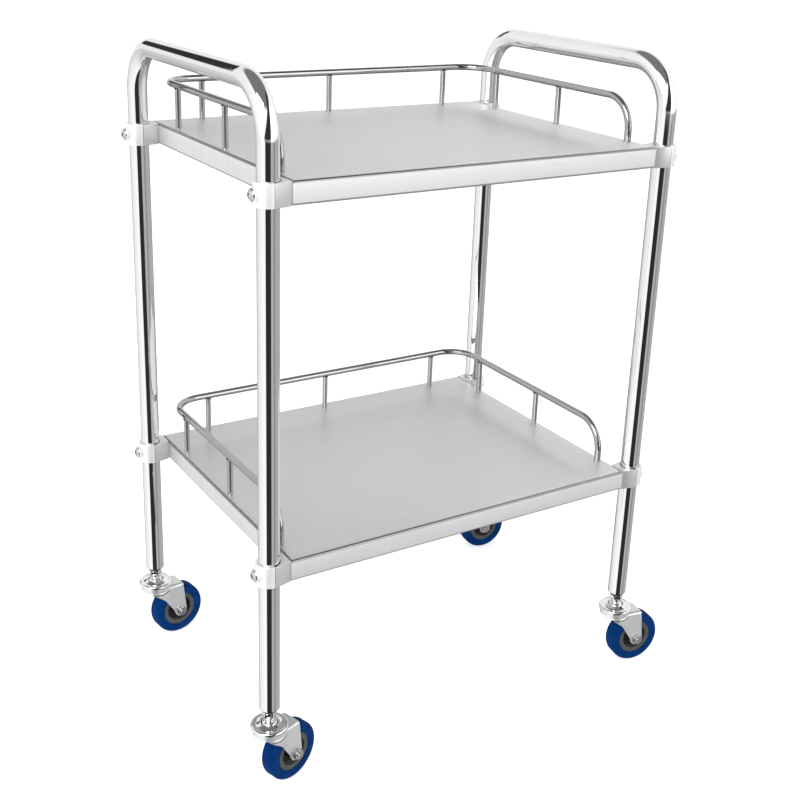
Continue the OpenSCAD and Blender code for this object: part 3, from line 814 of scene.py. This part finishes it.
def at_clamps(part, reach):
    """The part at every clamp, with its z axis pointing away from the cart and its origin `reach` out from
    the leg along that axis."""
    places = []
    for level in ("upper", "lower"):
        low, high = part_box(level + "_tray")
        for corner, leg in LEGS.items():
            out = -1 if corner.endswith("left") else 1
            where = leg + (out * reach, 0, (low[2] + high[2]) / 2)
            places.append(placed(part, where, x=(0, 0, 1), y=(0, out, 0), z=(out, 0, 0)))
    return joined(*places)


inner_face = CLAMP_REACH + SHEET
for name, part, reach, replaced in (
    ("button_bolts", button_bolt(), BOSS_REACH, "clamp_bolts"),
    ("flat_washers", flat_washer(), -inner_face - WASHER_T, "clamp_washers"),
    ("hexagon_nuts", hexagon_nut(NUT_H), -inner_face - WASHER_T - NUT_H, "clamp_nuts"),
):
    made = piece(name, at_clamps(part, reach), PLATED, "root", [replaced])
    print(made.name, "made with", len(made.data.polygons), "faces")

# %% [markdown]
# ## Tube plugs and caster stems
#
# A black plug closes each tube and grips the caster's thread. Under it come the stem's hexagon collar, a
# short neck, and a domed boss that stands out of the hole in the swivel's cap. All of it was made on a
# lathe, so each is one turned profile, from the plug's core down to the riveted head under the fork.

# %% Plugs
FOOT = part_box("left_frame_tube")[0][2]
PLUG_LOW, PLUG_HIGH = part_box("tube_end_plugs")[0][2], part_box("tube_end_plugs")[1][2]
STEM_R = 5 * MM
PLUG_TIP = 9 * MM


def end_plug():
    """Taper below the tube's rim, a narrow step at the rim, and the core inside the tube."""
    core = TUBE_R - TUBE_WALL - 0.1 * MM
    rows = [(STEM_R, PLUG_LOW), (PLUG_TIP - 0.6 * MM, PLUG_LOW), (PLUG_TIP, PLUG_LOW + 0.6 * MM),
            (TUBE_R - 0.4 * MM, FOOT - 0.9 * MM), (TUBE_R, FOOT - 0.4 * MM), (TUBE_R, FOOT), (core, FOOT),
            (core, PLUG_HIGH - MM), (core - MM, PLUG_HIGH), (STEM_R, PLUG_HIGH)]
    return turned(rows, closed=True)


plugs = joined(*(placed(end_plug(), leg) for leg in LEGS.values()))
print(piece("end_plugs", plugs, PLUG, "root", ["tube_end_plugs"]).name, "made")

# %% Stems
COLLAR_FLATS = 16 * MM
COLLAR_H = 6 * MM
NECK_R = 6 * MM
BOSS_DOME_R = 10.1 * MM
RACE_R = 15.5 * MM
RACE_T = 2 * MM


def stem_rows(corner):
    """The stem's profile from its riveted head, through race, dome, neck and collar, to the thread's
    end."""
    low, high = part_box(corner + "_stem")
    cap_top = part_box(corner + "_swivel_cap")[1][2]
    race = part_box(corner + "_ball_ring")[1][2] + 0.5 * MM
    collar = PLUG_LOW - MM
    dome = cap_top + 1.7 * MM
    head = low[2]
    corner_r = COLLAR_FLATS / math.sqrt(3)
    turned_face = COLLAR_FLATS * 0.48
    drop = 0.8 * MM
    return [
        (0, head), (0.5 * STEM_R, head + 0.1 * MM), (1.35 * STEM_R, head + 0.7 * MM),
        (1.6 * STEM_R, head + 2 * MM), (STEM_R, head + 2 * MM), (STEM_R, race), (RACE_R, race),
        (RACE_R, race + RACE_T),
        (BOSS_DOME_R, race + RACE_T), *fillet((BOSS_DOME_R - 5 * MM, dome - 5 * MM), 5 * MM, 0, 80, 10),
        *fillet((NECK_R + 1.5 * MM, dome + 1.4 * MM), 1.5 * MM, 260, 180, 6),
        (NECK_R, collar - COLLAR_H), (turned_face, collar - COLLAR_H),
        (corner_r, collar - COLLAR_H + drop, COLLAR_FLATS), (corner_r, collar - drop, COLLAR_FLATS),
        (turned_face, collar), (STEM_R, collar), (STEM_R, high[2] - MM), (STEM_R - MM, high[2]), (0, high[2]),
    ]


for corner, leg in LEGS.items():
    piece(corner + "_turned_stem", placed(turned(stem_rows(corner)), leg), CHROME, "root", [corner + "_stem"])
print("stems made")

# %% [markdown]
# ## Swivels
#
# The swivel is a pressed fork under a chromed cap. The cap's rim is rolled into a thick bead, and its web
# rises to a raised hole round the stem's dome. The fork is one sheet: a flat crown, a bend along each side,
# and two cheeks that narrow to a round foot at the axle. Its front edge sweeps up to the crown, and there
# the cheek flares out, sqrt(r^2 - x^2) from the middle, to meet the round cup that holds the bearing. The
# caster's own frame has its origin on the floor under the swivel axis, x along its trail, and y along the
# axle.

# %% Caster frames
def caster(corner):
    """Origin and axes of one caster: the origin under its leg, and the axes, the trail and the axle's height
    from the axle's joint.
    """
    roll = JOINTS[corner + "_roll"]
    y = np.array(roll["axis"])
    x = np.cross(y, (0, 0, 1))
    origin = LEGS[corner]
    axle = np.array(roll["pos_m"])
    return {"origin": origin, "x": x, "y": y, "z": (0, 0, 1)}, float((axle - origin) @ x), axle[2]


def on_axle(part, corner):
    """A turned part moved onto the axle, its profile's height running along it."""
    seat, trail, height = caster(corner)
    across = placed(part, (trail, 0, height), x=(1, 0, 0), y=(0, 0, -1), z=(0, 1, 0))
    return placed(across, **seat)


print({corner: round(caster(corner)[1] / MM, 2) for corner in LEGS}, "mm of trail")

# %% Swivel cap
CAP_SHEET = 1.4 * MM
BEAD_R = 2.8 * MM
CAP_HOLE = BOSS_DOME_R + 0.5 * MM


def cap_rows(corner):
    """Closed profile: round the outside of the bead, up the web, over the raised rim of the hole, and
    back."""
    low, high = (np.array(v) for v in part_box(corner + "_swivel_cap"))
    half = (high[0] - low[0]) / 2
    bead = (half - BEAD_R, low[2] + BEAD_R)
    rim = (CAP_HOLE + 1.3 * MM, high[2] - 1.3 * MM)
    shoulder = (CAP_HOLE + 4.2 * MM, high[2] - 2.4 * MM)
    outside = [*fillet(bead, BEAD_R, -120, 115, 24), (bead[0] - 2.6 * MM, low[2] + 1.85 * BEAD_R), shoulder,
               *fillet(rim, 1.3 * MM, 60, 180, 8)]
    inside = [(CAP_HOLE, rim[1] - CAP_SHEET), (CAP_HOLE + CAP_SHEET, rim[1] - CAP_SHEET),
              (shoulder[0], shoulder[1] - CAP_SHEET), (bead[0] - 2.4 * MM, low[2] + BEAD_R)]
    return outside + inside


for corner in LEGS:
    seat, _, _ = caster(corner)
    piece(corner + "_domed_cap", placed(turned(cap_rows(corner), 96, closed=True), **seat), CHROME,
          corner + "_swivel", [corner + "_swivel_cap"])
print("caps made")

# %% Fork sheet
FORK_T = 2.5 * MM
FORK_HALF = 14.75 * MM
FORK_BEND = 4 * MM
CUP_RISE = 5.5 * MM
FOOT_R = 9.5 * MM
FRONT_END = -14 * MM
FRONT_LEAN = 29 * MM
FRONT_SWEEP = 20 * MM
REAR_LEAN = 5 * MM
FLARE_START = 50 * MM
FLARE_RISE = 24 * MM
CAP_LOW, CAP_HIGH = (np.array(v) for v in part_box("front_left_swivel_cap"))
CUP_R = (CAP_HIGH[0] - CAP_LOW[0]) / 2 - FORK_T


def smooth(t):
    """0 below 0, 1 above 1, and 3 t^2 - 2 t^3 between."""
    t = np.clip(t, 0, 1)
    return t * t * (3 - 2 * t)


def cheek_edges(z, trail, axle, crown):
    """Front and rear edge of a cheek at height z. Below the axle both follow the foot's circle. Above it
    the rear edge leans forward evenly, and the front edge sweeps forward evenly and also as the sixth power
    of height."""
    below = np.sqrt(np.clip(FOOT_R ** 2 - np.minimum(z - axle, 0) ** 2, 0, None))
    h = np.clip((z - axle) / (crown - axle), 0, 1)
    front = trail - below - FRONT_LEAN * h - FRONT_SWEEP * h ** 6
    return np.maximum(front, FRONT_END), trail + below - REAR_LEAN * h


def fork_skin(depth, trail, axle, crown, columns):
    """Half of the fork's outer skin, or of a skin `depth` inside it: rows run from the crown's middle round
    the bend and down the cheek to the foot, columns from the front edge to the rear."""
    half, bend, top = FORK_HALF - depth, FORK_BEND - depth, crown - depth
    t = np.radians(np.linspace(0, 90, 9))
    down = np.sin(np.linspace(0, np.pi / 2, 40))[1:]
    foot = axle - FOOT_R
    z = np.concatenate([[top, top], top - bend * (1 - np.cos(t)), top - bend - (top - bend - foot) * down])
    y = np.concatenate([[0, half / 2], half - bend * (1 - np.sin(t)), np.full(len(down), half)])
    front, rear = cheek_edges(z, trail, axle, crown)
    x = front[:, None] + (rear - front)[:, None] * np.linspace(0, 1, columns)
    z = np.broadcast_to(z[:, None], x.shape)
    flare = np.sqrt(np.clip(CUP_R ** 2 - x ** 2, half ** 2, None)) - half
    flare = flare * smooth((z - FLARE_START) / FLARE_RISE) * (y / half)[:, None]
    return np.stack([x, y[:, None] + flare, z], axis=-1)


def fork_sheet(corner, columns=40):
    """Both halves as one closed sheet: each row goes along the outer skin and back along the inner one."""
    _, trail, axle = caster(corner)
    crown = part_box(corner + "_fork")[1][2] - CUP_RISE
    outer = fork_skin(0, trail, axle, crown, columns)
    inner = fork_skin(FORK_T, trail, axle, crown, columns)
    side = np.concatenate([outer, inner[:, ::-1]], axis=1)
    other = side[:0:-1] * (1, -1, 1)
    rows = np.concatenate([other, side])
    return rows.reshape(-1, 3), grid_faces(len(rows), rows.shape[1], close_columns=True)


def bearing_cup(corner):
    """The round wall that stands on the crown, with the rounded lower edge that the press leaves."""
    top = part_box(corner + "_swivel_cap")[0][2]
    crown = top - CUP_RISE
    base = crown - FORK_T
    bore = STEM_R + 0.05 * MM
    ease = 2 * MM
    rows = [(bore, base), *fillet((CUP_R - ease, base + ease), ease, 270, 360), (CUP_R, top),
            (CUP_R - FORK_T, top), (CUP_R - FORK_T, crown), (bore, crown)]
    return turned(rows, 96, closed=True)


for corner in LEGS:
    seat, _, _ = caster(corner)
    part = placed(joined(fork_sheet(corner), bearing_cup(corner)), **seat)
    fork = piece(corner + "_pressed_fork", part, ZINC, corner + "_swivel", [corner + "_fork"],
                 sharp=45)
    print(fork.name, "has", len(fork.data.polygons), "faces")

# %% [markdown]
# ## Wheels
#
# A wheel is a blue rubber tyre on a nylon hub. The tyre's tread is nearly flat, with a few fine grooves
# round it and rounded shoulders. The hub shows as a grey rim ring round a deep black recess, with a boss on
# the axle; the recess's near-black is partly the dark nylon and partly painted shade for the shadow inside
# it. All are turned profiles: the grooves are real dips in the profile, so they also shape the outline.

# %% Tyre and hub
GROOVES = np.array([-5.1, -1.7, 1.7, 5.1]) * MM
GROOVE_HALF = 0.6 * MM
GROOVE_DEPTH = 0.8 * MM
SHOULDER_R = 5 * MM
HUB_R = 25 * MM
RIM_INNER = 18.5 * MM
HUB_HALF = 9.5 * MM
WEB_HALF = 3.5 * MM
AXLE_BOSS_R = 9 * MM
AXLE_R = 4 * MM
TYRE_HALF = 11 * MM
RUNNING = 0.05 * MM


def tyre_rows(radius):
    """Closed profile: out over one shoulder, across the grooved tread, over the other shoulder, and back
    along the seat. A light step near the seat is where the rubber laps the rim."""
    shoulder = (radius - SHOULDER_R, TYRE_HALF - SHOULDER_R)
    tread = []
    for groove in GROOVES[::-1]:
        tread += [(radius, groove + GROOVE_HALF), (radius - GROOVE_DEPTH, groove),
                  (radius, groove - GROOVE_HALF)]
    side = [(HUB_R, TYRE_HALF - 0.8 * MM), (HUB_R + 1.5 * MM, TYRE_HALF - 0.5 * MM),
            (HUB_R + 4 * MM, TYRE_HALF)]
    return [*side, *fillet(shoulder, SHOULDER_R, 90, 0, 12), *tread,
            *fillet((shoulder[0], -shoulder[1]), SHOULDER_R, 0, -90, 12), *((r, -h) for r, h in side[::-1])]


def rim_rows():
    """Closed profile of the grey rim ring, with both edges eased."""
    ease = 0.8 * MM
    face = [*fillet((RIM_INNER + ease, HUB_HALF - ease), ease, 180, 90, 4), (HUB_R, HUB_HALF)]
    return [*face, *((r, -h) for r, h in face[::-1])]


def centre_rows(boss_half):
    """Closed profile of the black centre: a web between the rim and the boss, dished towards the boss."""
    ease = 0.8 * MM
    bore = AXLE_R + RUNNING
    face = [(bore, boss_half), *fillet((AXLE_BOSS_R - ease, boss_half - ease), ease, 90, 0, 4),
            (AXLE_BOSS_R + MM, WEB_HALF + MM), (AXLE_BOSS_R + 2.5 * MM, WEB_HALF),
            (RIM_INNER - 2 * MM, WEB_HALF), (RIM_INNER, WEB_HALF + 2 * MM)]
    return [*face, *((r, -h) for r, h in face[::-1])]


for corner in LEGS:
    _, _, axle = caster(corner)
    body = corner + "_wheel"
    boss_half = FORK_HALF - FORK_T - 0.5 * MM
    piece(corner + "_rubber_tyre", on_axle(turned(tyre_rows(axle), 128, closed=True), corner), TYRE, body,
          [corner + "_tyre"], sharp=40)
    piece(corner + "_hub_rim", on_axle(turned(rim_rows(), 96, closed=True), corner), HUB_GREY, body,
          [corner + "_hub"])
    # The centre's near-black colour is partly painted shade for the recess.
    piece(corner + "_hub_centre", on_axle(turned(centre_rows(boss_half), 96, closed=True), corner), HUB_BLACK_AND_SHADE,
          body, [corner + "_hub"])
print("wheels made")

# %% [markdown]
# ## Axles
#
# A bolt goes through both cheeks and the hub, with its hexagon head on one side of the wheel and a nut and a
# little thread on the other. The nut and the head are hexagons cut from a turned profile, as for the clamps.
# The bearing balls are already the right shape, so their solids stay and only get a finish.

# %% Axle bolts and nuts
HEAD_THICK = 4.5 * MM
AXLE_NUT_H = 5.5 * MM
AXLE_TAIL = 1.5 * MM


def axle_bolt():
    """Head beyond +FORK_HALF and a shank down to a threaded tail beyond -FORK_HALF."""
    corner_r = NUT_FLATS / math.sqrt(3)
    edge = NUT_FLATS / 2 * TURNED
    drop = (corner_r - edge) * TURNED_SLOPE
    top = FORK_HALF + HEAD_THICK
    end = -FORK_HALF - AXLE_NUT_H - AXLE_TAIL
    rows = [(0, top), (edge, top), (corner_r, top - drop, NUT_FLATS), (corner_r, FORK_HALF, NUT_FLATS),
            (AXLE_R, FORK_HALF), (AXLE_R, -FORK_HALF), *threaded(-FORK_HALF - MM, end + MM / 2),
            (AXLE_R - MM / 2, end), (0, end)]
    return turned(rows)


for corner in LEGS:
    body = corner + "_swivel"
    nut = placed(hexagon_nut(AXLE_NUT_H), (0, 0, -FORK_HALF - AXLE_NUT_H))
    piece(corner + "_hexagon_axle", on_axle(axle_bolt(), corner), PLATED, body, [corner + "_axle_bolt"])
    piece(corner + "_hexagon_axle_nut", on_axle(nut, corner), PLATED, body, [corner + "_axle_nut"])
    balls = frame["nodes"][corner + "_ball_ring"]
    balls.data.materials.clear()
    balls.data.materials.append(BEARING)
print("axles made, and the bearing balls finished")

# %% [markdown]
# ## Studio
#
# Polished steel shows the room, so the room is most of the look. A table gives the brightness of the walls
# below the horizon for each compass direction, and a second one that of the pale ceiling above it. An
# upright leg, seen from a little above, mirrors only the lower table, and its dark stretch to the right of
# the camera draws the line down each tube that tells the eye it is round. Two black cards do the same for
# the bends and the bars of the handles, and it is dark straight overhead. The walls belong to the world's
# light, and the camera sees plain white in their place. The floor is a white light table. It is left out of
# reflections, so that the lower walls show in the steel.

# %% Camera
VIEW_YAW = math.radians(32.40)
VIEW_PITCH = math.radians(19.07)
VIEW_ROLL = math.radians(1.99)
FILM = 36
LENS = 54.47
SHIFT_UP = -0.0875
CAMERA_PLACE = (-0.8189, -1.3094, 1.0322)  # from the point on the floor midway between the legs
cart_middle = sum(LEGS.values()) / len(LEGS)
camera_data = bpy.data.cameras.new("studio_camera")
camera_data.sensor_width = FILM
camera_data.lens = LENS
camera_data.shift_y = SHIFT_UP
camera = bpy.data.objects.new("studio_camera", camera_data)
bpy.context.scene.collection.objects.link(camera)
bpy.context.scene.camera = camera
camera.location = cart_middle + CAMERA_PLACE
ahead = np.array([math.sin(VIEW_YAW) * math.cos(VIEW_PITCH), math.cos(VIEW_YAW) * math.cos(VIEW_PITCH),
                  -math.sin(VIEW_PITCH)])
level_right = np.array([math.cos(VIEW_YAW), -math.sin(VIEW_YAW), 0])
level_up = np.cross(level_right, ahead)
right = level_right * math.cos(VIEW_ROLL) + level_up * math.sin(VIEW_ROLL)
up = np.cross(right, ahead)
camera.rotation_mode = "QUATERNION"
turn = np.stack([right, up, -ahead], axis=1)
camera.rotation_quaternion = mathutils.Matrix(turn.tolist()).to_quaternion()
print("camera at", [round(v, 3) for v in camera.location])

# %% Walls of light
WALLS = (  # below the horizon: degrees to the right of the direction behind the camera, and brightness
    (-180, 0.20), (-155, 0.28), (-138, 0.50), (-121, 0.70), (-100, 0.84), (-40, 1.0), (-20, 0.95),
    (-17, 0.02), (33, 0.03), (37, 0.47), (48, 0.45), (59, 0.35), (70, 0.24), (81, 0.33), (94, 0.48),
    (110, 0.32), (130, 0.5), (152, 0.28), (180, 0.20),
)
CEILING = (  # above the horizon
    (-180, 0.86), (-150, 0.80), (-120, 0.85), (-40, 1.1), (0, 0.9), (40, 1.3), (50, 2.2), (62, 2.2),
    (78, 1.2), (95, 1.1), (150, 0.86), (180, 0.86),
)
HORIZON = (-0.13, -0.05)  # each pair of heights or distances is where an edge starts and where it ends
OVERHEAD_EDGE = (0.66, 0.76)
BLACK = (0.03, 0.03, 0.03, 1)
OVERHEAD = (0.18, 0.18, 0.18, 1)
WHITE = (1, 1, 1, 1)
HANDLE_CARD = (0.834, 0.202, -0.514)
CARD_NEAR, CARD_FAR, CARD_LOW, CARD_BACK = (-0.26, -0.24), (0.02, -0.01), (0.17, 0.21), (0.83, 0.86)
ARCH_CARD = (-0.737, 0.335, 0.587)
ARCH_WIDE, ARCH_NARROW, ARCH_TOP = 0.42, 0.12, 0.75
ARCH_EDGE, ARCH_FRONT = (0.0, 0.03), (-0.25, -0.15)
WORLD_STRENGTH = 1.15


def compass_ramp(tree, turn, table):
    """A brightness read off a table of (degrees, brightness) by the compass direction, 0 to 1 for a whole
    turn."""
    ramp = node(tree, "ValToRGB", Fac=turn)
    stops = ramp.color_ramp.elements
    while len(stops) < len(table):
        stops.new(0.5)
    for stop, (degrees, light) in zip(stops, table):
        stop.position = degrees / 360 + 0.5
        stop.color = (light, light, light, 1)
    return ramp.outputs[0]


def walls_of_light():
    """A world that depends on the compass direction, with one table below the horizon and one above, a dark
    ceiling overhead, and two black cards. Each card is a strip of the sky beside a plane through the cart,
    which is given by the plane's normal. Heights are the sine of the angle above the horizon."""
    world = bpy.data.worlds.new("studio_walls")
    bpy.context.scene.world = world
    world.use_nodes = True
    tree = world.node_tree
    direction = node(tree, "TexCoord").outputs["Generated"]
    to_right = dot(tree, direction, level_right)
    to_back = dot(tree, direction, (-math.sin(VIEW_YAW), -math.cos(VIEW_YAW), 0))
    height = dot(tree, direction, (0, 0, 1))
    angle = math_node(tree, "ARCTAN2", to_right, to_back)
    turn = node(tree, "MapRange", Value=angle, From_Min=-math.pi, From_Max=math.pi).outputs[0]
    above = step(tree, height, *HORIZON)
    walls, ceiling = compass_ramp(tree, turn, WALLS), compass_ramp(tree, turn, CEILING)
    room = blend(tree, above, walls, ceiling)
    room = blend(tree, step(tree, height, *OVERHEAD_EDGE), room, OVERHEAD)
    across = dot(tree, direction, HANDLE_CARD)
    backwards = dot(tree, direction, (0, 1, 0))
    handle_card = product(tree, step(tree, across, *CARD_NEAR), step(tree, across, *CARD_FAR),
                          step(tree, height, *CARD_LOW), step(tree, backwards, *CARD_BACK))
    off_arch = math_node(tree, "ABSOLUTE", dot(tree, direction, ARCH_CARD))
    narrowing = {"From_Max": ARCH_TOP, "To_Min": ARCH_WIDE, "To_Max": ARCH_NARROW}
    arch_edge = node(tree, "MapRange", Value=height, **narrowing).outputs[0]
    inside = math_node(tree, "SUBTRACT", arch_edge, off_arch)
    arch_card = product(tree, step(tree, inside, *ARCH_EDGE), above, step(tree, to_back, *ARCH_FRONT))
    cards = math_node(tree, "MAXIMUM", handle_card, arch_card)
    lit = blend(tree, cards, room, BLACK)
    seen = node(tree, "LightPath").outputs["Is Camera Ray"]
    shown = blend(tree, seen, lit, WHITE)
    background = tree.nodes["Background"]
    tree.links.new(shown, background.inputs["Color"])
    background.inputs["Strength"].default_value = WORLD_STRENGTH


walls_of_light()

# %% Floor and lamp
FLOOR_HALF = 40.0
LAMP_PLACE = (-2.4, -1.6, 2.8)
LAMP_SIZE = 2.2
LAMP_WATTS = 70


def light_table():
    """A wide white floor that glows a little, so that it stays white under the soft shadows of the
    wheels."""
    half = FLOOR_HALF
    corners = [(-half, -half, 0), (half, -half, 0), (half, half, 0), (-half, half, 0)]
    floor_mesh = bpy.data.meshes.new("light_table")
    floor_mesh.from_pydata(corners, [], [(0, 1, 2, 3)])
    material, _, _ = finish("white_acrylic", Base_Color=(0.9, 0.9, 0.9, 1), Roughness=0.9,
                            Emission_Color=WHITE, Emission_Strength=0.6)
    floor_mesh.materials.append(material)
    floor = bpy.data.objects.new("light_table", floor_mesh)
    bpy.context.scene.collection.objects.link(floor)
    floor.visible_glossy = False


def soft_lamp(name, place, size, power):
    """A large square lamp that looks at the cart's middle."""
    lamp = bpy.data.lights.new(name, "AREA")
    lamp.size = size
    lamp.energy = power
    thing = bpy.data.objects.new(name, lamp)
    bpy.context.scene.collection.objects.link(thing)
    thing.location = place
    aim = mathutils.Vector((0, 0, CAD_BOX[1][2] / 2)) - thing.location
    thing.rotation_euler = aim.to_track_quat("-Z", "Y").to_euler()


light_table()
soft_lamp("key_lamp", LAMP_PLACE, LAMP_SIZE, LAMP_WATTS)
bpy.context.scene.view_settings.view_transform = "Standard"
print("studio lit")
